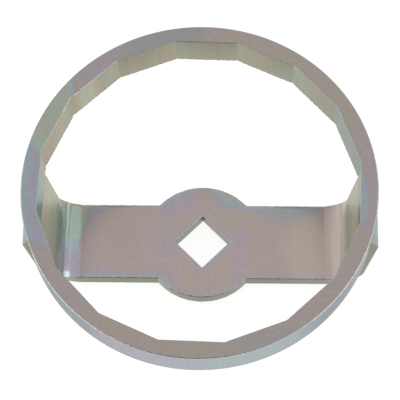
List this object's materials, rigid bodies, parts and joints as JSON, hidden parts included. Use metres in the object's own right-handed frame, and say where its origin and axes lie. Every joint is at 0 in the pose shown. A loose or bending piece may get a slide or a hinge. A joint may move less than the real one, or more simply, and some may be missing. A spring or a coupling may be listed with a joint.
{
  "type": "oil filter cap wrench",
  "caption": "Rigid cap wrench for oil filter housings: a thick plate ring with flats inside, welded to a bent plate strap whose hub has a square drive hole.",
  "frame": {"origin": "on the strap's underside, on the common axis of the drive hole and the ring", "axes": "+Z along that axis from the strap up to the ring, +X along the strap, +Y across it"},
  "size_m": [0.1112, 0.109, 0.0543],
  "materials": {
    "ring_plate": "zinc plated with an iridescent passivation, satin",
    "strap_plate": "zinc plated with an iridescent passivation, satin",
    "weld_metal": "zinc plated weld metal, satin"
  },
  "bodies": {
    "root": {"socket_ring": "ring_plate", "bridge_strap": "strap_plate", "weld_bead_left": "weld_metal", "weld_bead_right": "weld_metal"}
  },
  "joints": []
}
